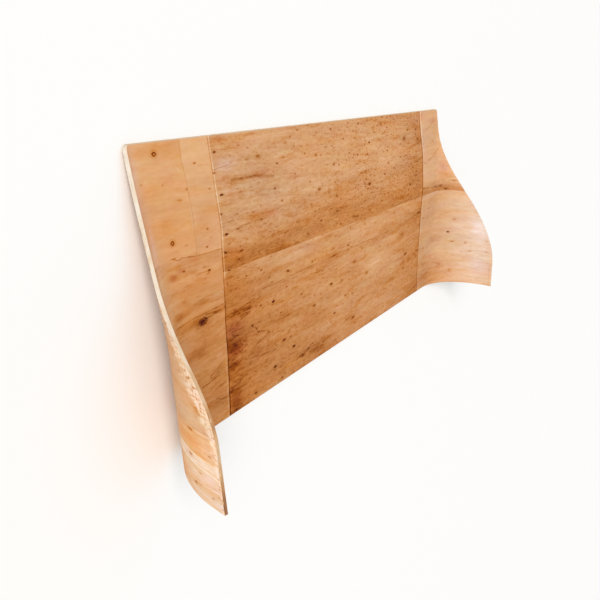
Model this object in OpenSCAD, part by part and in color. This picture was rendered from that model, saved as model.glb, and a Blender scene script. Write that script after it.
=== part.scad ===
// Bent plywood sheet: one flat field with a wing turned forward at each end.
// The sheet is worked out standing on its sawn foot, front towards -Y, and is then laid on its back.

/* [Sheet] */
// Height of the sheet, measured up its face
sheet_h = 1220; // [900:10:1500]
// Width of the flat field from seam to seam, at half the height
field_w = 2440; // [1800:10:3000]
// Thickness of the plywood
sheet_t = 15; // [9:1:25]
// Radius of the two top corners
corner_r = 20; // [5:1:60]

/* [Bow up the sheet] */
// Angle that the field leans back, measured at the foot
foot_lean = 5; // [0:0.5:12]
// Further angle that it bends back on its way to the top
bow_angle = 8; // [0:0.5:20]
// Height of the middle of that bend
bow_mid = 550; // [400:10:600]
// Length of face that the bend takes up
bow_len = 330; // [100:10:600]

/* [Wing bends] */
// Angle that each wing turns forward in all
turn_angle = 75; // [40:1:90]
// Length of face that the bend takes up at the foot
bend_len_foot = 590; // [400:10:700]
// Length of face that the bend takes up at the top
bend_len_top = 150; // [80:10:300]

/* [Left wing] */
// Distance from the end of the field to the end edge, at the foot
left_foot_w = 795; // [600:5:950]
// Distance from the end of the field to the end edge, at the top
left_top_w = 545; // [300:5:700]
// Distance from the end of the field to the start of the bend, at the foot
left_bend_foot = 145; // [50:5:250]
// Distance from the end of the field to the start of the bend, at the top
left_bend_top = 500; // [300:5:600]
// Height where the end edge starts to draw in
left_edge_low = 255; // [100:5:400]
// Height where the end edge runs straight up again
left_edge_high = 820; // [600:5:1150]

/* [Right wing] */
// Distance from the end of the field to the end edge, at the foot
right_foot_w = 770; // [600:5:950]
// Distance from the end of the field to the end edge, at the top
right_top_w = 380; // [300:5:700]
// Distance from the end of the field to the start of the bend, at the foot
right_bend_foot = 135; // [50:5:250]
// Distance from the end of the field to the start of the bend, at the top
right_bend_top = 365; // [300:5:600]
// Height where the end edge starts to draw in
right_edge_low = 175; // [100:5:400]
// Height where the end edge runs straight up again
right_edge_high = 1110; // [600:5:1150]

/* [Seams] */
// How much further each seam stands out at the top than at the foot
seam_spread = 60; // [0:5:100]
// Width of the open joint between the field and each wing
seam_w = 3; // [1:0.5:6]
// Depth of that joint in the front face
seam_d = 2; // [0.5:0.5:4]

/* [Hidden] */

row_steps = 32;       // steps up the sheet, below the corners
corner_steps = 4;     // steps round a top corner
wing_steps = 18;      // steps across a wing
profile_steps = 61;   // steps that the bow is summed over
probe = 1;            // step for reading a slope off the surface

// Each wing: side, foot width, top width, bend start at foot and top, edge low and high
left = [-1, left_foot_w, left_top_w, left_bend_foot, left_bend_top, left_edge_low, left_edge_high];
right = [1, right_foot_w, right_top_w, right_bend_foot, right_bend_top, right_edge_low, right_edge_high];

function clamp01(u) = min(1, max(0, u));
function smooth(u) = let (c = clamp01(u)) c * c * (3 - 2 * c);
function mix(a, b, u) = a + (b - a) * u;
function unit(v) = v / norm(v);

// Lean of the field at height h up its face, and its profile [back, up] summed from the foot
function lean(h) = foot_lean + bow_angle * smooth((h - bow_mid) / bow_len + 0.5);
profile_d = sheet_h / profile_steps;
profile = [
    for (i = 0, p = [0, 0]; i <= profile_steps; i = i + 1,
         a = lean((i - 0.5) * profile_d), p = p + profile_d * [sin(a), cos(a)]) p
];
function profile_at(h) =
    let (k = min(profile_steps - 1, max(0, floor(h / profile_d))))
    mix(profile[k], profile[k + 1], h / profile_d - k);

// Reach of a top corner's rounding into the width, at height h
function corner_inset(h) =
    let (u = max(0, h - sheet_h + corner_r)) corner_r - sqrt(max(0, corner_r * corner_r - u * u));
function wing_w(wing, h) =
    mix(wing[1], wing[2], smooth((h - wing[5]) / (wing[6] - wing[5]))) - corner_inset(h);

// A wing's plan at arc length s from the field's end: straight, then a bend, then straight again.
// Gives [distance out, distance forward, angle turned]; s is below 0 on the field itself.
function wing_plan(wing, h, s) =
    let (
        start = mix(wing[3], wing[4], h / sheet_h),
        length = mix(bend_len_foot, bend_len_top, h / sheet_h),
        radius = length / (turn_angle * PI / 180),
        turned = turn_angle * clamp01((s - start) / length),
        rest = s - start - length * clamp01((s - start) / length)
    )
    [start + radius * sin(turned) + rest * cos(turned),
     radius * (1 - cos(turned)) + rest * sin(turned),
     turned];

// Point of the front face, the way out of the back within the level plane, and the true one
function front(wing, h, s) =
    let (plan = wing_plan(wing, h, s), p = profile_at(h))
    [wing[0] * (field_w / 2 + plan[0]), p[0] - plan[1], p[1]];
function level_out(wing, h, s) =
    let (turned = wing_plan(wing, h, s)[2]) [wing[0] * sin(turned), cos(turned), 0];
function true_out(wing, h, s) =
    let (
        up = front(wing, min(sheet_h, h + probe), s) - front(wing, max(0, h - probe), s),
        across = front(wing, h, s + probe) - front(wing, h, s - probe),
        out = unit(cross(up, across))
    )
    out * sign(out * level_out(wing, h, s));

// Point at a depth below the front face. The foot and the top are sawn level, so their points go
// back within the level plane.
function behind(wing, h, s, depth) =
    let (level = level_out(wing, h, s), out = true_out(wing, h, s))
    front(wing, h, s) + (h == 0 || h == sheet_h ? level * depth / (level * out) : out * depth);

// Rows up the sheet, and columns across it as [wing, arc length from the field's end, depth]
corner_from = sheet_h - corner_r;
rows = concat(
    [for (i = [0 : row_steps]) i * corner_from / row_steps],
    [for (i = [1 : corner_steps]) i == corner_steps ? sheet_h : corner_from + corner_r * sin(90 * i / corner_steps)]
);
function wing_columns(wing, h) =
    let (w = wing_w(wing, h), seam = seam_spread * (h / sheet_h - 0.5))
    concat(
        [for (i = [wing_steps : -1 : 0]) [wing, mix(seam + seam_w / 2, w, i / wing_steps), 0]],
        [[wing, seam, seam_d], [wing, seam - seam_w / 2, 0]]
    );
function reversed(list) = [for (i = [len(list) - 1 : -1 : 0]) list[i]];
function columns(h) = concat(wing_columns(left, h), reversed(wing_columns(right, h)));
column_n = len(columns(0));
row_n = len(rows);

front_points = [
    for (h = rows) for (c = columns(h)) behind(c[0], h, c[1], c[2])
];
back_points = [for (h = rows) for (c = columns(h)) behind(c[0], h, c[1], sheet_t)];

// Laying on the back: the chord from the back edge at the foot to the one at the top goes level
foot_edge = behind(left, 0, 0, sheet_t);
top_edge = behind(left, sheet_h, 0, sheet_t);
chord_lean = atan2(top_edge.y - foot_edge.y, top_edge.z - foot_edge.z);
lay_turn = chord_lean - 90;
function laid(p) =
    [p.x, p.y * cos(lay_turn) - p.z * sin(lay_turn), p.y * sin(lay_turn) + p.z * cos(lay_turn)];
laid_points = [for (p = concat(front_points, back_points)) laid(p)];
function lowest(axis) = min([for (p = laid_points) p[axis]]);
function highest(axis) = max([for (p = laid_points) p[axis]]);
origin = [(lowest(0) + highest(0)) / 2, (lowest(1) + highest(1)) / 2, lowest(2)];

// Faces: a strip between two lines of points that run the same way
front_row = [for (r = [0 : row_n - 1]) [for (c = [0 : column_n - 1]) r * column_n + c]];
back_row = [for (row = front_row) [for (k = row) k + row_n * column_n]];
function strip(a, b) =
    [for (i = [0 : len(a) - 2]) each [[a[i], b[i], b[i + 1]], [a[i], b[i + 1], a[i + 1]]]];
function column_of(grid, c) = [for (row = grid) row[c]];
faces = concat(
    [for (r = [0 : row_n - 2]) each strip(front_row[r], front_row[r + 1])],
    [for (r = [0 : row_n - 2]) each strip(back_row[r + 1], back_row[r])],
    strip(back_row[0], front_row[0]),
    strip(front_row[row_n - 1], back_row[row_n - 1]),
    strip(column_of(front_row, 0), column_of(back_row, 0)),
    strip(column_of(back_row, column_n - 1), column_of(front_row, column_n - 1))
);

module plywood_sheet() {
    color("burlywood")
        translate(-origin)
            polyhedron(points = laid_points, faces = faces, convexity = 4);
}

plywood_sheet();
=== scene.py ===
# A sheet of plywood bent into one flat field with a wing turned forward at each end, lying on its back.
import bpy
import functools
import math
import random
import numpy as np
from mathutils import Matrix, Vector, noise


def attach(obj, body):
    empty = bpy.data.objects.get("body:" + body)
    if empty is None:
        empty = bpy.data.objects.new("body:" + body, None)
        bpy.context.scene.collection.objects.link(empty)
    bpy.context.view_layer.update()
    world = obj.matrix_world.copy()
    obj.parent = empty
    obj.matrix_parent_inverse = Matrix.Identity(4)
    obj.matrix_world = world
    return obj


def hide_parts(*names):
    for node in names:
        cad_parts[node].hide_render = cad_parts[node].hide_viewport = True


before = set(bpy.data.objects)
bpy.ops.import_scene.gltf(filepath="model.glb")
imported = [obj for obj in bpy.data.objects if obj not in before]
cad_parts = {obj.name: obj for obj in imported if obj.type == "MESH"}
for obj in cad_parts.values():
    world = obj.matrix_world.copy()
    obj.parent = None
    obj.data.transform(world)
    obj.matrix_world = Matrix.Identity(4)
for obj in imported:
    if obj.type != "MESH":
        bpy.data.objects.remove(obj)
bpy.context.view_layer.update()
print("frame loaded")

# The sheet as the CAD has it, in millimetres and degrees. Wings are -1, left, and 1, right.
sheet = {
    "height": 1220, "fieldWidth": 2440, "thickness": 15, "cornerRadius": 20,
    "footLean": 5, "bowAngle": 8, "bowMiddle": 550, "bowLength": 330,
    "turnAngle": 75, "bendLengthFoot": 590, "bendLengthTop": 150,
    "bowSteps": 61,      # the bow is summed over these, as the CAD does
    "boxSteps": 64,      # and the box is measured at these
    "probe": 1,          # step that a slope is read over
    "levelStrip": 1,     # strip at the foot and at the top that is sawn level
}
wings = {
    -1: {"footWidth": 795, "topWidth": 545, "bendFoot": 145, "bendTop": 500, "edgeLow": 255, "edgeHigh": 820},
    1: {"footWidth": 770, "topWidth": 380, "bendFoot": 135, "bendTop": 365, "edgeLow": 175, "edgeHigh": 1110},
}
top = sheet["height"]
half = sheet["fieldWidth"] / 2
thick = sheet["thickness"]


def smooth(u):
    c = min(1.0, max(0.0, u))
    return c * c * (3 - 2 * c)


def mix(a, b, u):
    return a + (b - a) * u


def lean(h):
    bowed = smooth((h - sheet["bowMiddle"]) / sheet["bowLength"] + 0.5)
    return math.radians(sheet["footLean"] + sheet["bowAngle"] * bowed)


def bowProfile():
    step = top / sheet["bowSteps"]
    points = [Vector((0, 0))]
    for i in range(sheet["bowSteps"]):
        a = lean((i + 0.5) * step)
        points.append(points[-1] + step * Vector((math.sin(a), math.cos(a))))
    return points


profile = bowProfile()


def profileAt(h):
    along = h * sheet["bowSteps"] / top
    k = min(sheet["bowSteps"] - 1, max(0, int(along)))
    return profile[k].lerp(profile[k + 1], along - k)


def endEdge(side, h):
    w = wings[side]
    drawnIn = smooth((h - w["edgeLow"]) / (w["edgeHigh"] - w["edgeLow"]))
    r = sheet["cornerRadius"]
    inset = r - math.sqrt(max(0.0, r * r - max(0.0, h - top + r) ** 2))
    return side * (half + mix(w["footWidth"], w["topWidth"], drawnIn) - inset)


# A point of the front face, standing on its foot, from its place x, h on the flat blank, and its turn
def frontPoint(side, x, h):
    w = wings[side]
    s = side * x - half
    start = mix(w["bendFoot"], w["bendTop"], h / top)
    length = mix(sheet["bendLengthFoot"], sheet["bendLengthTop"], h / top)
    radius = length / math.radians(sheet["turnAngle"])
    bent = min(1.0, max(0.0, (s - start) / length)) * length
    turned = bent / radius
    rest = s - start - bent
    out = start + radius * math.sin(turned) + rest * math.cos(turned)
    forward = radius * (1 - math.cos(turned)) + rest * math.sin(turned)
    back, up = profileAt(h)
    return Vector((side * (half + out), back - forward, up)), turned


# A point at a depth below the front. The foot and the top are sawn level.
def bentPoint(x, h, depth):
    side = -1 if x < 0 else 1
    step = sheet["probe"]
    point, turned = frontPoint(side, x, h)
    level = Vector((side * math.sin(turned), math.cos(turned), 0))
    up = frontPoint(side, x, min(top, h + step))[0] - frontPoint(side, x, max(0, h - step))[0]
    across = frontPoint(side, x + step, h)[0] - frontPoint(side, x - step, h)[0]
    out = up.cross(across).normalized()
    if out.dot(level) < 0:
        out.negate()
    ends = smooth(1 - min(h, top - h) / sheet["levelStrip"])
    return point + depth * out.lerp(level / level.dot(out), ends)


def layTurn():
    foot, head = (bentPoint(-half, h, thick) for h in (0, top))
    return Matrix.Rotation(math.atan2(head.y - foot.y, head.z - foot.z) - math.pi / 2, 3, "X")


laying = layTurn()


# The place that the CAD's origin has in the standing sheet: the middle of its box, at the lowest point
def rowOrigin():
    rows = [top * i / sheet["boxSteps"] for i in range(sheet["boxSteps"] + 1)]
    points = [laying @ bentPoint(x, h, depth) for h in rows for depth in (0, thick)
              for x in (-half, half, endEdge(-1, h), endEdge(1, h))]
    low, high = ([pick(p[axis] for p in points) for axis in range(3)] for pick in (min, max))
    return Vector(((low[0] + high[0]) / 2, (low[1] + high[1]) / 2, low[2]))


origin = rowOrigin()

blank = {
    "cell": 12,          # side of the grid's faces
    "plies": 5,
    "arris": 0.8,        # rounding left by a sanding block
    "arrisAngle": 60,    # on edges sharper than this
    "jointHalf": 1.5,    # half width of the open joint at each seam
    "jointDepth": 2,
    "jointZone": 9,      # strip of the grid on each side of a seam that keeps its width
    "footGap": 3.5,      # how much wider the left joint gapes at the foot
    "gapHeight": 260,    # and the height that this reaches
    "cornerRows": 4,
    "backJoints": [132, 172, 275],
    "leafJoint": 665,    # height of the straight joint between the upper and lower face leaves
    "wingJoint": ((-1765, 788), (-1225, 764)),   # the same joint on the left wing, a little askew
    "wingSplice": ((-1407, 776), (-1444, 1220)),
    "faceUp": 0.9,       # faces and walls are told apart by how far up they look
    "smoothAngle": 35,
}
# Each seam's line from foot to top, as x at a height
seams = {
    -1: [(0, -1183), (150, -1198), (300, -1216), (450, -1238), (600, -1242), (750, -1234),
         (850, -1226), (1000, -1239), (1100, -1246), (1220, -1257)],
    1: [(0, 1232), (200, 1203), (300, 1193), (400, 1189), (500, 1186), (550, 1190), (600, 1204),
        (700, 1242), (850, 1264), (940, 1271), (1000, 1262), (1100, 1247), (1220, 1240)],
}


# Catmull-Rom through points whose first number rises
def alongCurve(points, u):
    k = max(i for i in range(len(points) - 1) if i == 0 or points[i][0] <= u)
    p = [points[max(0, min(len(points) - 1, k + i))][1] for i in (-1, 0, 1, 2)]
    t = min(1.0, max(0.0, (u - points[k][0]) / (points[k + 1][0] - points[k][0])))
    return p[1] + 0.5 * t * (p[2] - p[0] + t * (2 * p[0] - 5 * p[1] + 4 * p[2] - p[3]
                                               + t * (3 * (p[1] - p[2]) + p[3] - p[0])))


# From the even grid to the sawn outline, with the seams on their lines
def drawn(x, h):
    side = -1 if x < 0 else 1
    seam = alongCurve(seams[side], h)
    zone = blank["jointZone"]
    gape = 1 + (blank["footGap"] - 1) * max(0, 1 - h / blank["gapHeight"]) if side < 0 else 1
    s = side * x - half
    if abs(s) <= zone:
        return seam + side * s * gape
    if s < 0:
        u = (half + s) / (half - zone)
        middle = (alongCurve(seams[-1], h) + alongCurve(seams[1], h)) / 2
        return mix(middle, seam - side * zone * gape, u)
    u = (s - zone) / (wings[side]["footWidth"] - zone)
    return mix(seam + side * zone * gape, endEdge(side, h), u)


def selectNothing():
    if bpy.context.object and bpy.context.object.mode != "OBJECT":
        bpy.ops.object.mode_set(mode="OBJECT")
    bpy.ops.object.select_all(action="DESELECT")


def makeBlank():
    selectNothing()
    low, high = -half - wings[-1]["footWidth"], half + wings[1]["footWidth"]
    bpy.ops.mesh.primitive_grid_add(x_subdivisions=round((high - low) / blank["cell"]),
                                    y_subdivisions=round(top / blank["cell"]), size=1)
    board = bpy.context.object
    board.name = board.data.name = "bent_plywood_sheet"
    bpy.ops.object.mode_set(mode="EDIT")
    bpy.ops.transform.resize(value=(high - low, top, 1))
    bpy.ops.transform.translate(value=((low + high) / 2, top / 2, 0))
    zone, gap = blank["jointZone"], blank["jointHalf"]
    columns = [side * (half + offset) for side in (-1, 1) for offset in (-zone, -gap, 0, gap, zone)]
    r = sheet["cornerRadius"]
    rows = [top - r + r * math.sin(math.pi / 2 * i / blank["cornerRows"]) for i in range(blank["cornerRows"])]
    cuts = [((x, 0, 0), (1, 0, 0)) for x in columns]
    cuts += [((0, h, 0), (0, 1, 0)) for h in rows + [blank["leafJoint"]] + blank["backJoints"]]
    for place, normal in cuts:
        bpy.ops.mesh.select_all(action="SELECT")
        bpy.ops.mesh.bisect(plane_co=place, plane_no=normal)
    bpy.ops.object.mode_set(mode="OBJECT")
    for vertex in board.data.vertices:
        vertex.co.x = drawn(vertex.co.x, vertex.co.y)
    bpy.ops.object.mode_set(mode="EDIT")
    bpy.ops.mesh.select_all(action="SELECT")
    for ply in range(blank["plies"]):
        bpy.ops.mesh.extrude_region_move(TRANSFORM_OT_translate={"value": (0, 0, -thick / blank["plies"])})
    bpy.ops.mesh.select_all(action="SELECT")
    bpy.ops.mesh.normals_make_consistent(inside=False)
    bpy.ops.mesh.select_all(action="DESELECT")
    bpy.ops.mesh.edges_select_sharp(sharpness=math.radians(blank["arrisAngle"]))
    bpy.ops.mesh.bevel(offset=blank["arris"], segments=2, affect="EDGES")
    bpy.ops.object.mode_set(mode="OBJECT")
    return board


wear = {
    "chipLength": 45,    # along the end
    "chipAcross": 4,     # through the thickness
    "chipDepth": 9,
    "chipBias": 0.05,
    "rightShare": 0.3,   # how deep the right end is chipped beside the left
    "sawLength": 9,
    "sawRough": 0.5,
    "sideSeed": 3.0, "plySeed": 7.3,
    "touch": 0.1,        # two places closer than this are one
}


# Open joints at the seams, and the wear that handling leaves on the ends
def cutJointsAndWear(board):
    for vertex in board.data.vertices:
        x, h, z = vertex.co
        side = -1 if x < 0 else 1
        if abs(x - alongCurve(seams[side], h)) < wear["touch"] and z > -wear["touch"]:
            vertex.co.z = -blank["jointDepth"]
        if abs(endEdge(side, h) - x) < blank["arris"] * 1.5:      # the wall and its rounding
            place = Vector((side * wear["sideSeed"], h / wear["chipLength"], z / wear["chipAcross"]))
            deep = smooth(-z / thick) if side < 0 else wear["rightShare"]
            chip = max(0.0, noise.noise(place) + wear["chipBias"]) * wear["chipDepth"] * deep
            ply = int(-z / thick * blank["plies"] * 0.999)    # a glue line counts with the ply before it
            place = Vector((ply * wear["plySeed"], h / wear["sawLength"], side))
            vertex.co.x -= side * (chip + abs(noise.noise(place)) * wear["sawRough"])
    board.data.update()


# Leaves of face veneer. Tone runs from 0, cream, to 1, dark brown. Then come the strength of the
# figure and of the amber clouds, the darker band along the joint at mid height with its height in
# millimetres, how far sun has turned the wood grey, and a seed.
leaves = {
    "fieldUpper": (0.465, 1.45, 0.13, 0.15, 230, 0.28, 1),
    "fieldLower": (0.522, 1.25, 0.12, -0.04, 24, 0.22, 2),
    "leftOuter": (0.445, 0.7, 0.05, 0.00, 50, 0.05, 3),
    "leftStrip": (0.405, 0.7, 0.05, 0.00, 50, 0.15, 4),
    "leftLower": (0.490, 1.1, 0.10, 0.00, 50, 0.15, 5),
    "rightUpper": (0.430, 0.8, 0.05, 0.21, 90, 0.38, 6),
    "rightLower": (0.471, 1.0, 0.07, -0.02, 24, 0.60, 7),
    "backUpper": (0.430, 1.2, 0.06, 0.00, 50, 0.60, 8),
    "backMiddle": (0.375, 1.2, 0.10, 0.00, 50, 0.25, 9),
    "backStrip": (0.240, 1.4, 0.14, 0.00, 50, 0.60, 10),
    "backFoot": (0.310, 1.2, 0.10, 0.00, 50, 0.50, 11),
}
seedSpread = (13.7, 5.1, 7.9)      # how far apart in the noise two leaves' seeds are

# Tones that are added below are in hundredths of the scale.
# Knots as x, h, half height, how much longer than high, darkness
frontKnots = [
    (-1360, 1123, 4, 2.4, 26), (-1430, 1030, 4, 1.5, 17), (-1275, 1015, 4, 1.6, 19),
    (-1320, 860, 4, 1.9, 19), (-1335, 790, 4, 1.8, 27), (-1335, 695, 4, 2, 29), (-1505, 725, 4, 2, 22),
    (-1555, 785, 4, 3, 14), (-1480, 995, 5, 3.2, 12), (-1700, 1078, 3, 3, 12), (-1575, 1062, 3, 1.5, 12),
    (-1470, 820, 3, 2.4, 9), (-1300, 822, 3, 3, 12), (-1370, 715, 4, 3, 9), (-1217, 1154, 4, 2.8, 34),
    (-1233, 1072, 4, 2.2, 30), (-1194, 979, 4, 3.2, 50), (-1186, 815, 4, 3.4, 54),
    (-1211, 902, 4, 2.2, 28), (-1207, 742, 4, 2.4, 24), (-1193, 664, 3, 3.4, 26),
    (-1215, 610, 4, 1.5, 17), (-879, 1110, 8, 2.2, 20), (-713, 1062, 4, 2.4, 28), (-696, 890, 5, 2.4, 22),
    (-547, 997, 3, 2.6, 24), (-617, 1148, 7, 3, 12), (-570, 1174, 3, 2.8, 26), (-495, 1200, 5, 2, 19),
    (-128, 1184, 5, 2.4, 25), (-435, 1085, 4, 2.4, 24), (-315, 1067, 7, 2, 25), (-302, 895, 8, 2.2, 23),
    (-108, 1006, 5, 2.6, 23), (-104, 838, 6, 2.4, 21), (130, 1015, 4, 2, 19), (190, 1150, 4, 3, 15),
    (335, 1016, 6, 2.6, 22), (340, 848, 7, 2.6, 22), (640, 1015, 5, 2.6, 19), (610, 1120, 4, 4, 14),
    (650, 940, 8, 2, 15), (450, 945, 5, 3, 10), (930, 1065, 11, 2.4, 15), (1000, 1116, 6, 3, 22),
    (1170, 1045, 6, 3, 17), (1150, 1110, 5, 3.5, 15), (320, 700, 6, 3, 14), (-310, 738, 4, 3.5, 14),
    (-80, 682, 4, 3, 15), (-130, 694, 4, 2.6, 15), (115, 695, 5, 3.5, 12), (20, 713, 4, 2.2, 14),
    (-935, 610, 4, 2.2, 24), (-688, 555, 5, 3, 31), (-430, 550, 4, 2.6, 24), (-190, 570, 8, 2.6, 13),
    (5, 553, 5, 2.2, 29), (240, 632, 5, 2, 15), (700, 628, 6, 2, 17), (95, 442, 9, 2.4, 17),
    (-200, 380, 7, 2.4, 29), (-390, 308, 7, 2.2, 24), (-60, 370, 7, 2.4, 14), (290, 336, 10, 2.4, 17),
    (0, 268, 5, 2.6, 24), (-130, 200, 5, 3.6, 29), (-600, 150, 7, 2.2, 30), (-828, 440, 6, 2.2, 32),
    (-1015, 373, 4, 2, 29), (-540, 407, 6, 2.2, 17), (-750, 365, 5, 2, 17), (-705, 214, 7, 2.2, 25),
    (-785, 102, 7, 2.2, 27), (130, 106, 7, 2.6, 22), (930, 325, 9, 2.4, 22), (915, 233, 8, 2.2, 19),
    (1140, 312, 6, 2.4, 15), (-965, 30, 5, 2.2, 21), (-710, 22, 5, 2.2, 17), (-500, 66, 7, 2.6, 11),
    (-945, 450, 4, 2.4, 19), (-1084, 727, 4, 3.2, 18), (-1089, 885, 4, 3, 14), (-800, 750, 4, 3.2, 14),
    (-463, 695, 7, 1.8, 12), (1140, 565, 9, 3.4, 13), (1180, 1165, 5, 2.6, 19), (1260, 712, 5, 3.4, 17),
    (1330, 708, 4, 3.6, 15), (1500, 697, 4, 3.6, 17), (1575, 700, 5, 3, 13), (1625, 675, 7, 2.4, 15),
    (1640, 370, 5, 2.2, 48), (1690, 460, 9, 2, 10), (1785, 295, 5, 1.5, 24), (1820, 240, 4, 2.8, 22),
    (1825, 275, 3, 1.5, 17), (1680, 300, 4, 3.4, 15), (1635, 215, 4, 2.4, 9), (1940, 330, 4, 2.6, 17),
    (1945, 248, 4, 3.4, 17), (1665, 85, 11, 1.4, 10), (1565, 140, 6, 3, 9), (1340, 563, 4, 3.6, 12),
    (1235, 513, 4, 4.6, 12), (1310, 175, 4, 3.4, 9), (1545, 817, 4, 1.8, 10), (1300, 1095, 5, 2.4, 7),
    (1290, 297, 4, 4, 7), (1700, 735, 4, 3.4, 17),
]
# Knots whose heart has dried out pale inside a dark ring, and one whose heart is the darkest part
ringKnots = [(-1605, 1177, 9, 1.5, 36), (-1556, 843, 9, 1.4, 37)]
heartKnots = [(-1405, 499, 18, 2, 23)]
backKnots = [
    (-1930, 366, 8, 1.5, 17), (-1860, 590, 5, 1.6, 28), (-1875, 268, 4, 3, 22), (-1970, 205, 4, 2, 22),
    (-1945, 206, 3, 1.4, 12), (-1860, 55, 5, 2, 30), (-1885, 60, 4, 4, 14), (-1960, 40, 4, 1.6, 22),
    (-1995, 60, 3, 1.6, 16), (-1850, 160, 6, 1.8, 20), (-1905, 470, 5, 2, 22), (-1930, 445, 4, 2, 20),
    (-1900, 110, 4, 2.4, 14), (-1580, 300, 5, 2.4, 20), (-1470, 150, 6, 2.4, 24), (1905, 225, 6, 1.8, 26),
    (1860, 470, 5, 2.2, 20), (1700, 345, 5, 2.4, 22), (1560, 615, 7, 1.8, 22), (1950, 92, 4, 2.4, 22),
    (1775, 88, 5, 2, 18), (1640, 820, 4, 2.2, 20), (1500, 240, 7, 1.8, 20), (1420, 905, 5, 2, 18),
]
pins = {
    "count": 300, "along": (-1200, 1900), "up": (10, top - 10),
    "halfHeight": (1.7, 3.6), "longer": (1.8, 3.4), "darkness": (6, 24), "seeds": (5, 9),
}
# Pins and specks crowd together at the upper right of the field: over a rise from a height, and over
# a length from a start along it. They are fewer before that, and fewest past the field's half length.
crowding = {
    "height": 600, "rise": 300, "length": 1000,
    "pins": {"start": -500, "before": 0.12, "onWings": 0.08, "fieldHalf": half},
    "specks": {"start": -600, "before": 0.45, "onWings": 0.1, "fieldHalf": half - 30},
}

# Soft stains, and among them painted highlights and painted shade, as x, h, half length, half height, tone,
# and any rosiness and greyness, in hundredths too
# The first two darken the field towards its lower left beside the left wing: partly stain, partly painted
# shade of the wing
fieldStainsAndShade = [
    (-1260, 250, 300, 330, 10, 0, -30), (-1240, 250, 650, 380, 8), (-900, 960, 450, 220, 0, 0, 35),
    (1250, 1040, 330, 320, 11, 0, 12), (1230, 300, 330, 400, 6), (1230, 20, 150, 80, 11),
    (-400, 55, 450, 100, 5), (0, 515, 2400, 26, 3), (430, 390, 190, 90, -14, 0, 10),
    (200, 610, 200, 40, -8), (-620, 615, 200, 30, -7, 20, 10), (-620, 490, 200, 30, -8),
    (-100, 550, 120, 28, 7), (950, 555, 110, 28, 7), (660, 485, 120, 24, -9), (-325, 245, 90, 36, 8),
    (-950, 242, 120, 34, -7, 20, 50), (-640, 70, 80, 40, -6), (-1060, 990, 150, 28, -9, 0, 10),
    (-1080, 1110, 60, 40, -3), (0, 872, 1300, 26, 5), (275, 985, 70, 30, -5),
    (-1010, 1027, 60, 9, 6, 0, -20), (-860, 1030, 130, 18, 7, 20, -30), (-1165, 1040, 70, 20, 5, 40),
    (-1060, 1168, 90, 12, 5, 20), (-1200, 1203, 60, 10, 12, 50, -20), (-925, 1210, 40, 8, 10, 50, -20),
    (-1155, 1096, 80, 30, -13, 60, 50), (-950, 858, 120, 22, 11, 20, -40),
    (-800, 848, 60, 20, 5, 90, -40), (-1150, 715, 90, 30, -3, 40, -50), (-560, 985, 60, 14, 5, 20),
    (-470, 1017, 30, 9, 7), (940, 1065, 75, 14, 7), (-1160, 575, 140, 36, 5, 0, -10),
    (-255, 650, 75, 14, 9), (-500, 635, 75, 16, -2, 60, 30), (-1164, 404, 62, 22, 14, 180),
    (-1142, 298, 62, 26, 13, 200), (-1180, 340, 90, 100, 9, 100), (-1120, 470, 110, 22, 9, 50, -10),
    (-1170, 235, 70, 14, 11, 60), (-1150, 100, 70, 60, 7, 80), (-1142, 62, 48, 26, 9, 120),
    (-470, 80, 110, 26, 5, 20), (830, 460, 50, 22, 7), (430, 180, 60, 14, 7, 50),
    (400, 507, 60, 18, 10, 40), (1150, 560, 120, 16, 7), (-1130, 10, 100, 45, 16), (1030, 12, 130, 30, 9),
    (-330, 60, 130, 30, 6), (120, 105, 90, 28, 7), (-440, 265, 70, 30, 6), (580, 45, 100, 30, -7),
    (1090, 1000, 70, 45, -8), (-660, 1085, 90, 28, -6), (430, 630, 120, 22, -5), (-990, 950, 90, 30, -5),
]
# The paler, rosier and greyer patches near each wing's end are painted highlights where the curved face
# catches the light; the others are stains
wingStainsAndHighlights = [
    (-1745, 900, 60, 350, -6, 30, -10), (-1745, 1080, 32, 120, -10, 60, 10),
    (-1690, 870, 22, 100, -7, 80, 10), (-1330, 850, 110, 90, 6), (-1550, 830, 120, 80, 4),
    (-1650, 1050, 60, 14, 4, 0, -20), (-1540, 1085, 50, 26, 2, 40), (-1574, 712, 24, 12, 16, 150),
    (-1525, 731, 26, 8, 10, 90), (-1420, 758, 34, 6, 12, 100, -40), (-1400, 230, 300, 340, 10),
    (-1410, 502, 80, 30, 8, 20, 10), (-1275, 524, 45, 12, 12, 40, -20), (-1455, 375, 70, 16, 11, 20),
    (-1530, 606, 28, 7, 12, 20), (-1416, 583, 36, 6, 11, 20), (-1562, 556, 34, 9, 12, 60, -10),
    (-1420, 354, 26, 6, 13), (-1265, 235, 70, 45, 7), (-1340, 445, 150, 50, 6), (-1250, 110, 80, 50, 11),
    (-1370, 105, 20, 9, 10, 30, -30), (1900, 350, 180, 520, -18, 30, 60), (1890, 420, 50, 55, -8, -20),
    (1380, 60, 220, 90, 11), (1560, 150, 50, 26, 5, 20), (1490, 336, 100, 30, 8, 20),
    (1490, 1150, 70, 24, 5, 80), (1620, 830, 48, 42, 7, 90, 20), (1640, 780, 60, 20, 2, -20, -20),
    (1640, 690, 110, 14, 5), (1500, 700, 350, 34, 0, 0, 40), (1680, 430, 130, 280, 0, 0, 35),
    (1300, 1040, 50, 220, -2, 30, 10), (1520, 480, 60, 9, 7, 80, -20), (1260, 1185, 60, 18, 6, 80, -10),
    (1865, 420, 45, 110, -4, 20, 10), (1880, 120, 60, 60, -3, 40, 20), (-1695, 720, 55, 110, -13, 20),
    (-1640, 580, 50, 60, -11, 10), (1630, 755, 80, 35, 9), (1420, 685, 90, 20, -6),
]
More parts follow.
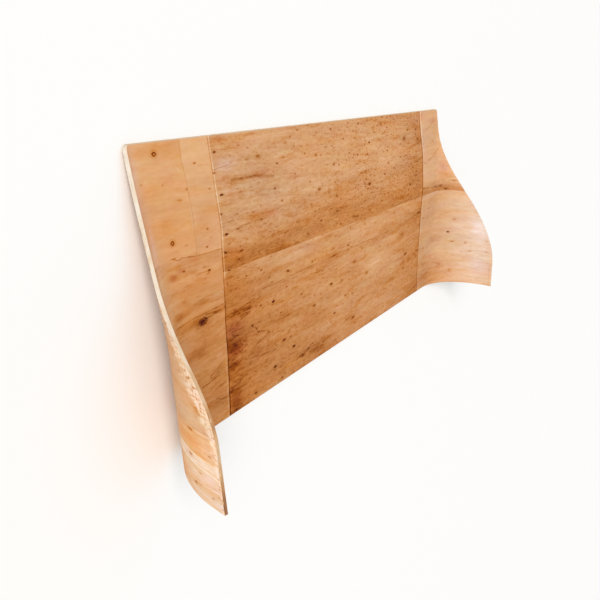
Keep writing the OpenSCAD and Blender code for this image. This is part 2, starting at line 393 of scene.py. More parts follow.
backStains = [
    (-1880, 220, 90, 26, 6, 0, -50), (-1870, 262, 60, 8, 6, 0, -20), (-1845, 158, 34, 12, 10, 40),
    (-1890, 440, 26, 9, -16, 30, 20), (-1960, 112, 50, 14, -6, 50, 20), (-1930, 366, 22, 9, 5, 0, -20),
    (-1980, 86, 30, 6, 5, 60), (-1820, 55, 60, 14, 4, 0, -30), (-1930, 25, 120, 18, -5, 40, 20),
    (-1970, 215, 50, 34, -6, 0, 30), (-2000, 40, 40, 36, -7, 0, 30), (-1700, 70, 80, 70, 13, 0, -50),
    (-1600, 220, 120, 30, 6, 0, -40), (1880, 330, 160, 60, 5, 20, -30), (1700, 480, 200, 50, 5, 0, -20),
    (1840, 215, 120, 22, 7, 30, -30), (1560, 700, 120, 40, -4, 30, 10),
]

# Thin lines in the face as half width, darkness and points
frontLines = [
    (1.2, 5, [(-1240, 665), (1790, 665)]),
    (2, 15, [(-1765, 786), (-1661, 778), (-1619, 780), (-1570, 785), (-1528, 772), (-1514, 780),
        (-1451, 772), (-1416, 768), (-1332, 766), (-1234, 765)]),
    (2, 11, [(-1407, 776), (-1409, 926), (-1419, 1010), (-1430, 1080), (-1444, 1150), (-1444, 1220)]),
    (2.6, 11, [(-930, 524), (-800, 523), (-500, 529), (0, 530), (400, 529), (700, 532), (900, 540),
        (1130, 562)]),
    (2.5, 18, [(-1605, 520), (-1549, 521), (-1486, 527), (-1416, 530), (-1360, 530), (-1290, 534),
        (-1242, 536)]),
    (4.5, 14, [(-1385, 506), (-1340, 508), (-1304, 514), (-1242, 518)]),
    (4, 9, [(1295, 1077), (1346, 1093), (1398, 1100), (1440, 1114), (1491, 1140), (1535, 1155)]),
    (5, 12, [(1280, 881), (1329, 875), (1372, 884), (1432, 898), (1534, 927), (1576, 952), (1619, 982)]),
    (3, 5, [(1260, 985), (1600, 985)]),
    (8, 9, [(-1112, 1029), (-1019, 1027), (-963, 1027), (-901, 1024), (-834, 1016), (-755, 1011)]),
    (3, 11, [(-1120, 990), (-1058, 990)]), (3, 9, [(-1120, 1167), (-1080, 1166)]),
    (1.8, 14, [(-1332, 1110), (-1304, 1112), (-1262, 1105), (-1236, 1084), (-1199, 1089), (-1154, 1091)]),
    (1.5, 11, [(-1176, 1080), (-1092, 1086)]), (3.5, 9, [(-879, 938), (-811, 934)]),
    (5, 10, [(-1101, 824), (-1064, 830), (-1019, 833), (-850, 833)]),
    (4, 10, [(-1210, 864), (-1120, 864)]), (4, 13, [(-705, 736), (-654, 743)]),
    (4, 12, [(-940, 776), (-860, 778)]), (4, 13, [(-637, 805), (-558, 806)]),
    (6, 9, [(-1214, 742), (-1130, 730), (-1084, 727)]),
    (3.5, 12, [(-1225, 471), (-1153, 478), (-1000, 496)]),
    (4, 12, [(-1198, 463), (-1100, 462), (-1016, 463)]), (6, 10, [(-1115, 436), (-1038, 439)]),
    (2.2, 17, [(-1016, 372), (-989, 358), (-974, 347), (-966, 332), (-939, 326), (-909, 319),
        (-863, 309), (-852, 302), (-886, 288), (-932, 279), (-970, 270), (-1008, 262)]),
    (5, 6, [(-1221, 252), (-1179, 248), (-1126, 224)]),
    (3, 12, [(-1061, 224), (-1008, 219), (-924, 205), (-840, 200)]),
    (2.5, 15, [(-1103, 283), (-1061, 303)]),
    (2.5, 13, [(-1183, 134), (-1115, 136), (-1084, 153), (-1000, 172)]),
    (2, 11, [(-1180, 118), (-1120, 110), (-1060, 108)]),
    (2, -8, [(-1479, 1118), (-1460, 1100), (-1442, 1090)]), (1.8, 10, [(-1430, 692), (-1346, 681)]),
    (1.8, 10, [(-1409, 695), (-1342, 697)]),
    (3, 11, [(1262, 709), (1340, 707), (1400, 702), (1500, 697), (1590, 702)]),
    (4, 10, [(1660, 736), (1738, 741)]), (3, 9, [(1330, 567), (1382, 565)]),
    (3, 10, [(1200, 515), (1262, 515)]), (3, 9, [(1200, 304), (1304, 292)]),
    (2.5, 8, [(1610, 300), (1696, 301)]), (2.5, 12, [(1747, 228), (1823, 237), (1883, 249), (1955, 251)]),
    (4, 8, [(1483, 165), (1530, 150), (1576, 132)]), (3, 8, [(1290, 182), (1370, 179)]),
    (4, 9, [(-548, 72), (-480, 82), (-400, 96)]), (3, 9, [(-640, 118), (-560, 112)]),
    (4, 15, [(-1402, 212), (-1360, 215), (-1318, 222), (-1283, 228)]),
    (4, 12, [(-1346, 243), (-1290, 261), (-1227, 289)]), (3, 11, [(-1310, 170), (-1225, 178)]),
    (4, 12, [(-1297, 124), (-1255, 107), (-1200, 100)]),
]
backLines = [
    (3, -22, [(-2015, 283), (-1960, 276), (-1900, 275)]), (2, -8, [(-1900, 275), (1990, 275)]),
    (3.5, -18, [(-2015, 174), (-1870, 174), (-1700, 172), (1990, 172)]),
    (3.5, -20, [(-2015, 128), (-1850, 134), (1990, 132)]),
    (2.5, -12, [(-2010, 80), (-1960, 72), (-1850, 64), (-1700, 58)]),
]

# Along each seam, by height: how dark the painted shade in and beside the open joint is, and the painted
# highlight where a raised veneer edge catches the light, as its strength and its place across, where the
# wing's side counts up
seamShade = {
    -1: [(0, 0.30), (200, 0.24), (450, 0.20), (600, 0.16), (700, 0.08), (1220, 0.08)],
    1: [(0, 0.08), (300, 0.11), (700, 0.15), (1100, 0.12), (1220, 0.08)],
}
seamHighlight = {
    -1: [(0, 0.2), (100, 0.3), (250, 0.4), (340, 0.0), (600, 0.0), (660, 0.9), (1220, 0.9)],
    1: [(0, 0.0), (300, 0.0), (400, 0.4), (560, 0.2), (700, 0.1), (820, 0.35), (1000, 0.5), (1100, 0.8),
        (1220, 0.8)],
}
highlightPlace = {-1: [(0, 13), (460, 13), (461, -9), (1220, -9)], 1: [(0, 13), (1220, 13)]}
highlightHalf = {-1: 3.0, 1: 7.0}    # half width of that line
shadeReach = {-1: 5, 1: 24}      # how far the painted shade spreads from the joint over the field
# Width of back veneer torn off along the left end, by height, and dirt on the sawn left end
tornWidth = [(0, 24), (100, 30), (200, 46), (280, 58), (330, 92), (400, 112), (430, 140), (465, 120),
             (500, 84), (560, 66), (620, 56), (1220, 50)]
endDirt = [(0, 0.74), (60, 0.68), (120, 0.50), (190, 0.26), (250, 0.26), (340, 0.54), (380, 0.44),
           (420, 0.22), (480, 0.34), (520, 0.14), (660, 0.04), (1220, 0.03)]
otherDirt = 0.15                # on the other sawn edges
endStrip = 3                    # how far in from the left end its dirt goes
farAway = 1000.0                # stands for no line or seam near


def readPlaces(parts, kind):
    places = np.empty(len(parts) * 3)
    parts.foreach_get(kind, places)
    return places.reshape(-1, 3)


def writeAttribute(board, name, values, domain="POINT"):
    wide = values.ndim == 2
    attribute = board.data.attributes.new(name, "FLOAT_VECTOR" if wide else "FLOAT", domain)
    attribute.data.foreach_set("vector" if wide else "value", values.astype(np.float32).ravel())


def leafOf(x, h, front):
    if not front:
        bands = zip(blank["backJoints"] + [top], ("backFoot", "backStrip", "backMiddle", "backUpper"))
        return next(name for height, name in bands if h <= height)
    if x > alongCurve(seams[1], h):
        return "rightUpper" if h > blank["leafJoint"] else "rightLower"
    if x > alongCurve(seams[-1], h):
        return "fieldUpper" if h > blank["leafJoint"] else "fieldLower"
    (x0, h0), (x1, h1) = blank["wingJoint"]
    if h < mix(h0, h1, (x - x0) / (x1 - x0)):
        return "leftLower"
    (x0, h0), (x1, h1) = blank["wingSplice"]
    return "leftOuter" if x < mix(x0, x1, (h - h0) / (h1 - h0)) else "leftStrip"


def markLeaves(board):
    centres = readPlaces(board.data.polygons, "center")
    found = np.array([leaves[leafOf(x, h, z > -thick / 2)] for x, h, z in centres])
    writeAttribute(board, "leaf", found[:, :3], "FACE")
    writeAttribute(board, "leafBand", found[:, 3:6], "FACE")
    writeAttribute(board, "leafSeed", found[:, 6:] * np.array([seedSpread]), "FACE")


def crowdAt(kind, x, h):
    share = crowding[kind]
    if abs(x) >= share["fieldHalf"]:
        return share["onWings"]
    along = smooth((x - share["start"]) / crowding["length"])
    up = smooth((h - crowding["height"]) / crowding["rise"])
    return share["before"] + (1 - share["before"]) * along * up


def scatteredPins(seed):
    draw = random.Random(seed)
    scattered = []
    while len(scattered) < pins["count"]:
        x, h = draw.uniform(*pins["along"]), draw.uniform(*pins["up"])
        if draw.random() < crowdAt("pins", x, h):
            shape = [draw.uniform(*pins[part]) for part in ("halfHeight", "longer", "darkness")]
            scattered.append((x, h, *shape))
    return scattered


# Each face keeps the place and shape of the knot that is nearest for its size
def markKnots(board):
    centres = readPlaces(board.data.polygons, "center")
    front = centres[:, 2] > -thick / 2
    nearest = np.full(len(centres), np.inf)
    place, shape = np.zeros((len(centres), 3)), np.zeros((len(centres), 3))
    frontPins, backPins = (scatteredPins(seed) for seed in pins["seeds"])
    groups = ((frontKnots + frontPins, 0, front), (ringKnots, 1, front),
              (heartKnots, knotLook["heartShare"], front), (backKnots + backPins, 0, ~front))
    for knots, ring, onThisFace in groups:
        for x, h, size, longer, dark in knots:
            far = np.hypot((centres[:, 0] - x) / longer, centres[:, 1] - h) / (size + knotLook["claim"])
            near = (far < nearest) & onThisFace
            nearest[near] = far[near]
            place[near] = (x, h, ring)
            shape[near] = (1 / (size * longer), 1 / size, dark / 100)
    writeAttribute(board, "knotPlace", place, "FACE")
    writeAttribute(board, "knotShape", shape, "FACE")


# Stains, with the painted highlights and painted shade listed among them, summed at each vertex as tone,
# rosiness and greyness
def markStainsAndPaintedLight(board):
    places = readPlaces(board.data.vertices, "co")
    x, h, front = places[:, 0], places[:, 1], places[:, 2] > -thick / 2
    seamX = np.array([alongCurve(seams[-1 if at < 0 else 1], height) for at, height in zip(x, h)])
    onField = abs(x) < abs(seamX)
    found = np.zeros((len(places), 3))
    for stainsAndLight, onThisPart in ((fieldStainsAndShade, front & onField), (wingStainsAndHighlights, front & ~onField),
                               (backStains, ~front)):
        for atX, atH, length, height, *added in stainsAndLight:
            share = np.exp(-((x - atX) / length) ** 2 - ((h - atH) / height) ** 2) * onThisPart
            for channel, amount in enumerate(added):
                found[:, channel] += share * amount / 100
    writeAttribute(board, "stainsAndPaintedLight", found)


# Signed distance across the nearest line, so that it stays sharp between vertices
def markLines(board):
    places = readPlaces(board.data.vertices, "co")
    front = places[:, 2] > -thick / 2
    pastEnd = lineLook["pastEnd"]
    found = np.full((len(places), 3), farAway)
    found[:, 1] = 0
    for lines, onThisFace in ((frontLines, front), (backLines, ~front)):
        for width, dark, points in lines:
            for a, b in zip(points, points[1:]):
                way = Vector(b) - Vector(a)
                length = way.length
                way.normalize()
                along = (places[:, :2] - a) @ way
                across = (places[:, :2] - a) @ Vector((-way.y, way.x))
                beside = (along > -pastEnd) & (along < length + pastEnd) & onThisFace
                near = beside & (abs(across) < abs(found[:, 0]))
                found[near, 0] = across[near]
                found[near, 1:] = dark / 100, width
    writeAttribute(board, "line", found)


# Painted shade of each joint by height, and how far it reaches
def seamAt(x, h, z):
    side = -1 if x < 0 else 1
    across = side * (x - alongCurve(seams[side], h)) if z > -thick / 2 else farAway
    return across, alongCurve(seamShade[side], h), 1 / shadeReach[side]


# The painted highlight where a raised veneer edge beside each joint catches the light
def highlightAt(x, h, z):
    side = -1 if x < 0 else 1
    return alongCurve(highlightPlace[side], h), alongCurve(seamHighlight[side], h), 1 / highlightHalf[side]


# The back veneer is torn off along the left end. This falls to 0 a little past the torn width, and
# the tear frays where it is about halfway down.
def tornAt(x, h, z):
    reach = (x - endEdge(-1, h)) / alongCurve(tornWidth, h)
    return max(0.0, tornLook["atEnd"] - reach) if z < -thick / 2 and x < 0 else 0.0


def dirtAt(x, h, z):
    return alongCurve(endDirt, h) if x < endEdge(-1, h) + endStrip else otherDirt


def markEach(board, name, rule):
    found = [rule(x, h, z) for x, h, z in readPlaces(board.data.vertices, "co")]
    writeAttribute(board, name, np.array(found))


# The bend is put on last, in metres, and the lowest point is set down on the floor
def bendBoard(board):
    for vertex in board.data.vertices:
        x, h, z = vertex.co
        vertex.co = (laying @ bentPoint(x, h, -z) - origin) * 0.001
    lift = max(0.0, -min(vertex.co.z for vertex in board.data.vertices))
    for vertex in board.data.vertices:
        vertex.co.z += lift
    board.data.update()


def linear(hexColour):
    channels = [int(hexColour[i:i + 2], 16) / 255 for i in (1, 3, 5)]
    return [c / 12.92 if c <= 0.04045 else ((c + 0.055) / 1.055) ** 2.4 for c in channels] + [1]


# Inputs go by name or, as a list, in the order of the node's sockets. For a Map Range that is the
# value, the range that comes in and the range that goes out.
def setInputs(node, inputs):
    for socket, value in inputs.items() if isinstance(inputs, dict) else enumerate(inputs):
        if isinstance(value, bpy.types.Node):
            value = value.outputs[0]
        if isinstance(value, bpy.types.NodeSocket):
            node.id_data.links.new(value, node.inputs[socket])
        else:
            node.inputs[socket].default_value = value
    return node


def addNode(tree, kind, inputs, **settings):
    node = tree.nodes.new("ShaderNode" + kind)
    for name, value in settings.items():
        setattr(node, name, value)
    return setInputs(node, inputs)


softly = {"interpolation_type": "SMOOTHSTEP"}


# Sources added to a start one after the other, each at its share
def addShares(add, start, parts):
    for source, share in parts:
        start = add("Math", [source, share, start], operation="MULTIPLY_ADD")
    return start


def setRamp(node, stops):
    ramp = node.color_ramp
    while len(ramp.elements) < len(stops):
        ramp.elements.new(0.5)
    for element, (position, colour) in zip(ramp.elements, stops):
        element.position = position
        element.color = linear(colour)
    return node


def newMaterial(name):
    material = bpy.data.materials.new(name)
    material.use_nodes = True
    return material, material.node_tree.nodes["Principled BSDF"]


# The place on the sheet counted in a pattern's own lengths and heights
def inCells(add, place, seed, length, height):
    return add("VectorMath", [place, (1 / length, 1 / height, 0), seed], operation="MULTIPLY_ADD")


# A blotch or streak of the wood, as noise of a length along the sheet and a height up it
def woodPattern(add, place, seed, length, height, detail, roughness):
    cells = inCells(add, place, seed, length, height)
    return add("TexNoise", {"Vector": cells, "Scale": 1, "Detail": detail, "Roughness": roughness})


# Softwood from pale sapwood to a dark knot heart by tone, and the same wood turned grey by sun, which also
# whitens the painted highlights
woodTones = [
    (0.00, "#fbe6cf"), (0.15, "#f0cfae"), (0.30, "#e3b688"), (0.45, "#d59d6a"),
    (0.60, "#c27f43"), (0.72, "#ad6729"), (0.84, "#8a4708"), (0.93, "#692a06"), (1.00, "#451304"),
]
greyTones = [
    (0.00, "#ebe6df"), (0.15, "#e0cfbe"), (0.30, "#d3b698"), (0.45, "#c59d7a"),
    (0.60, "#b38158"), (0.72, "#9d6a40"), (0.84, "#7b4a24"), (0.93, "#5e2f14"), (1.00, "#401808"),
]
unseeded = (0, 0, 0)
noiseMiddle = 0.5

# A pattern is its length and height in millimetres, its detail and its roughness. A range is what
# comes in, from low to high, and what that goes out as.
knotLook = {
    "claim": 4,            # how far round its rim a knot claims the faces
    "heartShare": -0.6,    # a ring's opposite: this much darker at the heart
    "rag": (18, 6, 2, 0.5), "ragShare": 1.6, "ragMiddle": 0.8,
    "core": (0.75, 1.2, 1, 0), "halo": (0.9, 2.8, 0.2, 0), "heart": (0.25, 0.6, 0.7, 0),
    "parting": (0, 4.5, -0.55, 0),     # how much of its height the grain gives way
}
lineLook = {
    "pastEnd": 10,         # how far past its ends a line still shows
    "rim": (0.3, 1.5, 1, 0), "breaks": (70, 40, 2, 0.6), "breakSeed": (3, 7, 0),
    "strength": (0.3, 0.6, 0.25, 1.2),
}
seamLook = {
    "nearing": (-1.2, -0.2),         # painted shade on the field, in its own reach
    "passing": (1.5, 4.5, 1, 0),     # and on the wing, in millimetres
    "highlightRim": (0.5, 1.5, 1, 0), "highlightShare": -0.22,
}
tornLook = {
    "atEnd": 1.4, "tear": (60, 34, 4, 0.6), "mask": (0.38, 0.50, 0, 0.9),
    "fibres": (8, 60, 3, 0.6), "fibreTone": (0.3, 0.75, 0.06, 0.36),
    "shreds": (36, 13, 4, 0.7), "shredSeed": (5, 0, 0), "shredTone": (0.52, 0.66, 0, 0.36),
    "knotShare": 1.5, "rosiness": 0.15, "rougher": 0.12, "sunk": -1.5,
}
veneer = {
    "figure": [(900, 140, 2, 0.5, 0.08), (240, 28, 3, 0.55, 0.09), (45, 14, 3, 0.6, 0.08)],    # and tone
    "cloud": (330, 60, 6, 0.62), "amber": (0.5, 0.72),
    "dash": (80, 6, 3, 0.6), "dashTone": (0.60, 0.70, 0, 0.15), "dashLeast": (1.1, -0.6),
    "fleck": (30, 12, 4, 0.7), "fleckTone": (0.55, 0.65, 0, 0.17), "fleckCrowd": 2.2,
    "streak": (120, 18, 3, 0.6),
    "wander": (800, 150, 2, 0.5), "wanderReach": 45,
    "hue": (400, 90, 3, 0.6), "hueShare": 1.0,
    "blush": (170, 60, 3, 0.6), "blushShare": 1.6, "rosy": (1.0, 0.92, 1.12, 1.0),
    "specks": [(30, 12, 0.72, 0.22), (70, 26, 0.80, 0.28)],     # cell length and height, rarity, tone
    "speckRim": (0.10, 0.26, 1, 0),
    "band": (0.45, 1.45, 1, 0), "bandRag": 0.9,
    "knotShare": 1.2, "knotSpared": -0.8, "bandSpared": -0.9, "amberSpared": -0.3,
    "fibre": (60, 2.2, 3, 0.6),        # coarser than the real 1 mm, so that it shows
    "fibreDepth": 0.0003, "fibreBump": 0.5,
    "dull": (0.3, 0.7, 0.56, 0.70), "knotShine": -0.3, "knotProud": 1.5, "specular": 0.05,
}


# Distance from the nearest knot, 1 at its rim, then height above it and how dark it makes the wood
def knotMarks(add, flat, place, shape):
    ring, darkness = (add("SeparateXYZ", [vector]).outputs["Z"] for vector in (place, shape))
    away = add("VectorMath", [flat, place], operation="SUBTRACT")
    scaled = add("VectorMath", [away, shape], operation="MULTIPLY")
    level = add("VectorMath", [scaled, (1, 1, 0)], operation="MULTIPLY")
    far = add("VectorMath", [level], operation="LENGTH").outputs["Value"]
    rag = woodPattern(add, flat, unseeded, *knotLook["rag"])
    even = add("Math", [far, knotLook["ragMiddle"]], operation="SUBTRACT")
    ragged = add("Math", [rag, knotLook["ragShare"], even], operation="MULTIPLY_ADD")
    core, halo, heart = (add("MapRange", [distance, *knotLook[part]], **softly)
                         for part, distance in (("core", ragged), ("halo", ragged), ("heart", far)))
    dried = add("Math", [heart, ring], operation="MULTIPLY")
    whole = add("Math", [core, halo], operation="MAXIMUM")
    ringed = add("Math", [whole, dried], operation="SUBTRACT")
    tone = add("Math", [ringed, darkness], operation="MULTIPLY")
    return far, add("SeparateXYZ", [away]).outputs["Y"], tone


# The grain wanders up and down, and parts round the knots
def partedGrain(add, flat, seed, far, aboveKnot):
    wander = woodPattern(add, flat, seed, *veneer["wander"])
    parting = add("MapRange", [far, *knotLook["parting"]], **softly)
    parted = add("Math", [aboveKnot, parting], operation="MULTIPLY")
    lift = add("Math", [wander, veneer["wanderReach"], parted], operation="MULTIPLY_ADD")
    upward = add("CombineXYZ", {"Y": lift})
    return add("VectorMath", [flat, upward], operation="ADD")


# Streaks of early and late wood, as tone round 0
def figureTone(add, grain, seed):
    parts = [(woodPattern(add, grain, seed, *pattern), share * 2) for *pattern, share in veneer["figure"]]
    return addShares(add, -sum(pattern[-1] for pattern in veneer["figure"]), parts)


# Pin knots too small to place one by one
def speckTone(add, grain, seed, crowd):
    parts = []
    for length, height, rarity, dark in veneer["specks"]:
        place = inCells(add, grain, seed, length, height)
        cells = add("TexVoronoi", {"Vector": place, "Scale": 1}, voronoi_dimensions="2D")
        dot = add("MapRange", [cells.outputs["Distance"], *veneer["speckRim"]])
        drawn = add("SeparateColor", [cells.outputs["Color"]])
        chosen = add("MapRange", [drawn, rarity, 1, 0, dark])
        parts.append((dot, add("Math", [chosen, crowd], operation="MULTIPLY")))
    return addShares(add, 0, parts)


# The darker band along the joint at mid height, ragged on its far side
def jointBand(add, flat, clouds, height):
    up = add("SeparateXYZ", [flat]).outputs["Y"]
    above = add("Math", [up, blank["leafJoint"]], operation="SUBTRACT")
    away = add("Math", [above], operation="ABSOLUTE")
    share = add("Math", [away, height], operation="DIVIDE")
    ragged = add("Math", [clouds, veneer["bandRag"], share], operation="MULTIPLY_ADD")
    return add("MapRange", [ragged, *veneer["band"]], **softly)


# Thin lines, broken here and there
def lineTone(add, flat, line):
    across, darkness, halfWidth = add("SeparateXYZ", [line]).outputs
    aside = add("Math", [across], operation="ABSOLUTE")
    share = add("Math", [aside, halfWidth], operation="DIVIDE")
    mask = add("MapRange", [share, *lineLook["rim"]], **softly)
    breaks = woodPattern(add, flat, lineLook["breakSeed"], *lineLook["breaks"])
    strength = add("MapRange", [breaks, *lineLook["strength"]])
    broken = add("Math", [mask, strength], operation="MULTIPLY")
    return add("Math", [broken, darkness], operation="MULTIPLY")


# Painted shade in and beside the open joint, less the painted highlight where a raised veneer edge catches
# the light
def seamTone(add, seam, seamHighlight):
    across, darkness, perReach = add("SeparateXYZ", [seam]).outputs
    place, highlightStrength, perHalf = add("SeparateXYZ", [seamHighlight]).outputs
    reach = add("Math", [across, perReach], operation="MULTIPLY")
    rise = add("MapRange", [reach, *seamLook["nearing"]], **softly)
    fall = add("MapRange", [across, *seamLook["passing"]], **softly)
    # painted shade in and beside the joint's gap
    dirtAndShade = add("Math", [rise, fall], operation="MULTIPLY")
    dark = add("Math", [dirtAndShade, darkness], operation="MULTIPLY")
    # the painted highlight line beside the joint, which lightens the tone
    off = add("Math", [across, place], operation="SUBTRACT")
    aside = add("Math", [off], operation="ABSOLUTE")
    share = add("Math", [aside, perHalf], operation="MULTIPLY")
    line = add("MapRange", [share, *seamLook["highlightRim"]], **softly)
    highlightLine = add("Math", [line, highlightStrength], operation="MULTIPLY")
    return addShares(add, dark, [(highlightLine, seamLook["highlightShare"])])


# Where the back veneer is torn off, the ply below is paler and its fibres run up the sheet
def tornPly(add, flat, torn, knots):
    tear = woodPattern(add, flat, unseeded, *tornLook["tear"])
    share = add("Math", [torn, tear], operation="MULTIPLY")
    mask = add("MapRange", [share, *tornLook["mask"]])
    fibres = woodPattern(add, flat, unseeded, *tornLook["fibres"])
    shreds = woodPattern(add, flat, tornLook["shredSeed"], *tornLook["shreds"])
    tone = add("MapRange", [fibres, *tornLook["fibreTone"]])
    shredTone = add("MapRange", [shreds, *tornLook["shredTone"]])
    return mask, addShares(add, tone, [(shredTone, 1), (knots, tornLook["knotShare"])])


# Rotary-cut softwood veneer, sanded and left bare: broad soft figure along the sheet, amber clouds,
# brown pin knots that the grain parts round, and a dull sheen
def rotaryCutVeneer():
    material, surface = newMaterial("rotary-cut softwood veneer")
    add = functools.partial(addNode, material.node_tree)
    flat, leaf, leafBand, seed, knotPlace, knotShape, stainsAndPaintedLight, line, seam, seamHighlight = (
        add("Attribute", [], attribute_name=name).outputs["Vector"]
        for name in ("flatPlace", "leaf", "leafBand", "leafSeed", "knotPlace", "knotShape", "stainsAndPaintedLight", "line",
                     "seam", "seamHighlight"))
    crowd, torn = (add("Attribute", [], attribute_name=name).outputs["Fac"] for name in ("crowd", "torn"))
    leafTone, figured, ambered = add("SeparateXYZ", [leaf]).outputs
    banded, bandHeight, sunned = add("SeparateXYZ", [leafBand]).outputs
    # these stain channels also carry painted highlights and painted shade
    stainAndLightTone, flushAndHighlightRosiness, greyingAndHighlightPaleness = add("SeparateXYZ", [stainsAndPaintedLight]).outputs

    far, aboveKnot, knots = knotMarks(add, flat, knotPlace, knotShape)
    grain = partedGrain(add, flat, seed, far, aboveKnot)
    clouds, dashed, flecked, streaks, hue, fibres = (
        woodPattern(add, grain, seed, *veneer[name])
        for name in ("cloud", "dash", "fleck", "streak", "hue", "fibre"))
    amber = add("MapRange", [clouds, *veneer["amber"]], **softly)
    dashes = add("MapRange", [dashed, *veneer["dashTone"]])
    flecks = add("MapRange", [flecked, *veneer["fleckTone"]])
    bandShape = jointBand(add, flat, clouds, bandHeight)
    band = add("Math", [bandShape, banded], operation="MULTIPLY")
    ragged = add("Math", [clouds, streaks], operation="ADD")
    stainLightAndBand = add("Math", [stainAndLightTone, band], operation="ADD")
    fleckShare = add("Math", [stainLightAndBand, veneer["fleckCrowd"], crowd], operation="MULTIPLY_ADD")
    dashShare = add("Math", [figured, *veneer["dashLeast"]], operation="MULTIPLY_ADD")
    tone = addShares(add, leafTone, (
        (figureTone(add, grain, seed), figured), (amber, ambered), (stainAndLightTone, ragged),
        (knots, veneer["knotShare"]), (dashes, dashShare), (band, 1), (flecks, fleckShare),
        (speckTone(add, grain, seed, crowd), 1), (lineTone(add, flat, line), 1),
        (seamTone(add, seam, seamHighlight), 1)))
    bare, bareTone = tornPly(add, flat, torn, knots)
    shown = add("Mix", {"Factor": bare, "A": tone, "B": bareTone})

    # greyness from the stains also whitens the painted highlights
    grey = add("Math", [sunned, greyingAndHighlightPaleness], operation="ADD")
    hueOff = add("Math", [hue, noiseMiddle], operation="SUBTRACT")
    agingAndHighlight = addShares(add, grey, (
        (hueOff, veneer["hueShare"]), (band, veneer["bandSpared"]), (amber, veneer["amberSpared"]),
        (knots, veneer["knotSpared"])))
    fresh, weatheredAndLit = (setRamp(add("ValToRGB", [shown]), tones) for tones in (woodTones, greyTones))
    agedAndLit = add("Mix", {"Factor": agingAndHighlight, 6: fresh, 7: weatheredAndLit}, data_type="RGBA", clamp_factor=False)
    flush = woodPattern(add, flat, seed, *veneer["blush"])
    flushOff = add("Math", [flush, noiseMiddle], operation="SUBTRACT")
    rosiness = addShares(add, flushAndHighlightRosiness, ((bare, tornLook["rosiness"]), (flushOff, veneer["blushShare"])))
    blushed = add("Mix", {"Factor": rosiness, 6: agedAndLit.outputs[2], 7: veneer["rosy"]},
                  data_type="RGBA", blend_type="MULTIPLY", clamp_factor=False)

    # sanding leaves the fibres standing, and resin makes the knots smoother and prouder
    dull = add("MapRange", [fibres, *veneer["dull"]])
    rough = addShares(add, dull, ((knots, veneer["knotShine"]), (bare, tornLook["rougher"])))
    relief = addShares(add, fibres, ((knots, veneer["knotProud"]), (bare, tornLook["sunk"])))
    bump = add("Bump", {"Height": relief, "Strength": veneer["fibreBump"], "Distance": veneer["fibreDepth"]})
    setInputs(surface, {"Base Color": blushed.outputs[2], "Roughness": rough, "Normal": bump,
                        "Specular IOR Level": veneer["specular"]})
    return material


# From fresh sawn end grain to wood browned by handling
edgeTones = [
    (0.00, "#d6cdc0"), (0.20, "#cebba2"), (0.45, "#c1986d"), (0.75, "#a0704b"), (1.00, "#6b4428"),
]
plyEdge = {
    "grime": 45, "grimeDetail": 4, "grimeShare": 0.5,
    "fibre": (9, 0.8, 3, 0.6), "fibreShare": 0.10,
    "endGrain": 0.07, "glueLine": 0.16, "glueHalf": 0.09,
    "rough": (0.3, 0.7, 0.72, 0.9), "fibreDepth": 0.0003, "fibreBump": 0.6, "specular": 0.2,
}


# Sawn ply edge: plies in turn along and across the grain with a dark glue line between them, pale
# where fresh and brown where handled
def sawnPlyEdge():
    material, surface = newMaterial("sawn ply edge")
    add = functools.partial(addNode, material.node_tree)
    flat = add("Attribute", [], attribute_name="flatPlace").outputs["Vector"]
    dirtAndShade = add("Attribute", [], attribute_name="endDirt").outputs["Fac"]
    place = add("VectorMath", {0: flat, "Scale": 1 / plyEdge["grime"]}, operation="SCALE")
    grime = add("TexNoise", {"Vector": place, "Scale": 1, "Detail": plyEdge["grimeDetail"]})
    length, height, detail, roughness = plyEdge["fibre"]
    place = add("VectorMath", [flat, (1 / length, 1 / length, 1 / height)], operation="MULTIPLY")
    fibres = add("TexNoise", {"Vector": place, "Scale": 1, "Detail": detail, "Roughness": roughness})
    deep = add("SeparateXYZ", [flat]).outputs["Z"]
    ply = add("Math", [deep, blank["plies"] / thick], operation="MULTIPLY")
    toGlue = add("Math", [ply, 0.5], operation="PINGPONG")
    glue = add("MapRange", [toGlue, 0, plyEdge["glueHalf"], 1, 0])
    pair = add("Math", [ply, 2], operation="MODULO")
    across = add("Math", [pair, 1], operation="GREATER_THAN")
    tone = addShares(add, -plyEdge["grimeShare"] / 2, (
        (grime, plyEdge["grimeShare"]), (dirtAndShade, 1), (fibres, plyEdge["fibreShare"]),
        (across, plyEdge["endGrain"]), (glue, plyEdge["glueLine"])))
    colour = setRamp(add("ValToRGB", [tone]), edgeTones)
    rough = add("MapRange", [fibres, *plyEdge["rough"]])
    bump = add("Bump", {"Height": fibres, "Strength": plyEdge["fibreBump"],
                        "Distance": plyEdge["fibreDepth"]})
    setInputs(surface, {"Base Color": colour, "Roughness": rough, "Normal": bump,
                        "Specular IOR Level": plyEdge["specular"]})
    return material


# Walls of the blank take the sawn edge, and the faces and the open joints the veneer
def dressBoard(board):
    board.data.materials.append(rotaryCutVeneer())
    board.data.materials.append(sawnPlyEdge())
    for face in board.data.polygons:
        x, h, z = face.center
        side = -1 if x < 0 else 1
        inJoint = abs(x - alongCurve(seams[side], h)) < blank["jointZone"] and z > -blank["jointDepth"] - 1
        face.material_index = int(abs(face.normal.z) < blank["faceUp"] and not inJoint)


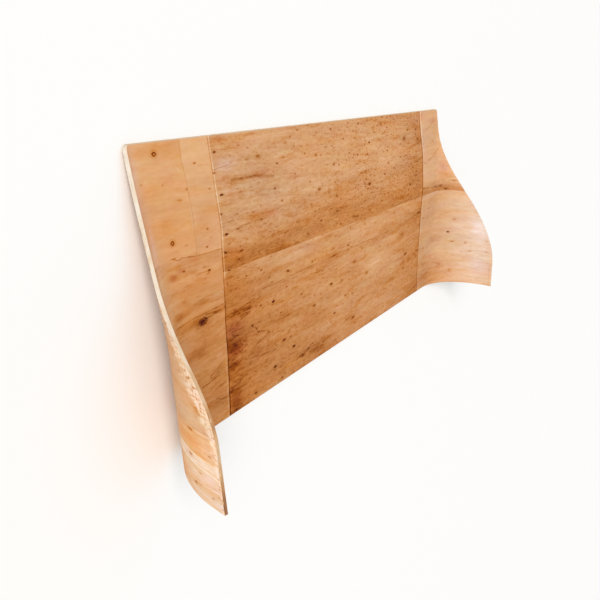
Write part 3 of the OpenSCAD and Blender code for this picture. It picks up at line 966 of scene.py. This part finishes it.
board = makeBlank()
print("blank modelled:", len(board.data.vertices), "vertices", len(board.data.polygons), "faces")
cutJointsAndWear(board)
writeAttribute(board, "flatPlace", readPlaces(board.data.vertices, "co") * (1, 1, -1))
markLeaves(board)
markKnots(board)
markStainsAndPaintedLight(board)
markLines(board)
for name, rule in (("seam", seamAt), ("seamHighlight", highlightAt), ("torn", tornAt), ("endDirt", dirtAt),
                   ("crowd", lambda x, h, z: crowdAt("specks", x, h))):
    markEach(board, name, rule)
dressBoard(board)
print("faces marked")
bendBoard(board)
selectNothing()
board.select_set(True)
bpy.context.view_layer.objects.active = board
bpy.ops.object.shade_smooth_by_angle(angle=math.radians(blank["smoothAngle"]))
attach(board, "root")
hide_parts("plywood_sheet")
print("board bent and laid")

studio = {
    "lens": 48.74,
    "camera": (-3.9693, 0.8263, 1.8557),
    "cameraRight": (0.4621, -0.0226, 0.8865),
    "cameraForward": (0.8545, -0.2560, -0.4520),
    "keyTurn": 20, "keyHeight": 38, "keySoftness": 35, "keyPower": 2.3,
    "sky": 0.65,
    "floor": "#f4f3f1", "floorSize": 80, "floorRough": 0.9,
}


def addCamera():
    camera = bpy.data.objects.new("camera", bpy.data.cameras.new("camera"))
    camera.data.lens = studio["lens"]
    right = Vector(studio["cameraRight"]).normalized()
    forward = Vector(studio["cameraForward"])
    forward = (forward - right * forward.dot(right)).normalized()
    turned = Matrix((right, right.cross(forward), -forward)).transposed().to_4x4()
    camera.matrix_world = Matrix.Translation(studio["camera"]) @ turned
    bpy.context.scene.collection.objects.link(camera)
    bpy.context.scene.camera = camera


def addFloor():
    selectNothing()
    bpy.ops.mesh.primitive_plane_add(size=studio["floorSize"])
    floor = bpy.context.object
    floor.name = "studio_floor"
    material, surface = newMaterial("studio floor")
    setInputs(surface, {"Base Color": linear(studio["floor"]), "Roughness": studio["floorRough"]})
    floor.data.materials.append(material)


def addLights():
    turn, height = math.radians(studio["keyTurn"]), math.radians(studio["keyHeight"])
    level = math.cos(height)
    towards = Vector((-math.cos(turn) * level, math.sin(turn) * level, math.sin(height)))
    key = bpy.data.objects.new("key", bpy.data.lights.new("key", "SUN"))
    key.data.energy = studio["keyPower"]
    key.data.angle = math.radians(studio["keySoftness"])
    key.rotation_euler = towards.to_track_quat("Z", "Y").to_euler()
    bpy.context.scene.collection.objects.link(key)
    world = bpy.data.worlds.new("studio")
    world.use_nodes = True
    setInputs(world.node_tree.nodes["Background"], {"Color": (1, 1, 1, 1), "Strength": studio["sky"]})
    bpy.context.scene.world = world
    bpy.context.scene.view_settings.view_transform = "Standard"


addCamera()
addFloor()
addLights()
print("studio set")
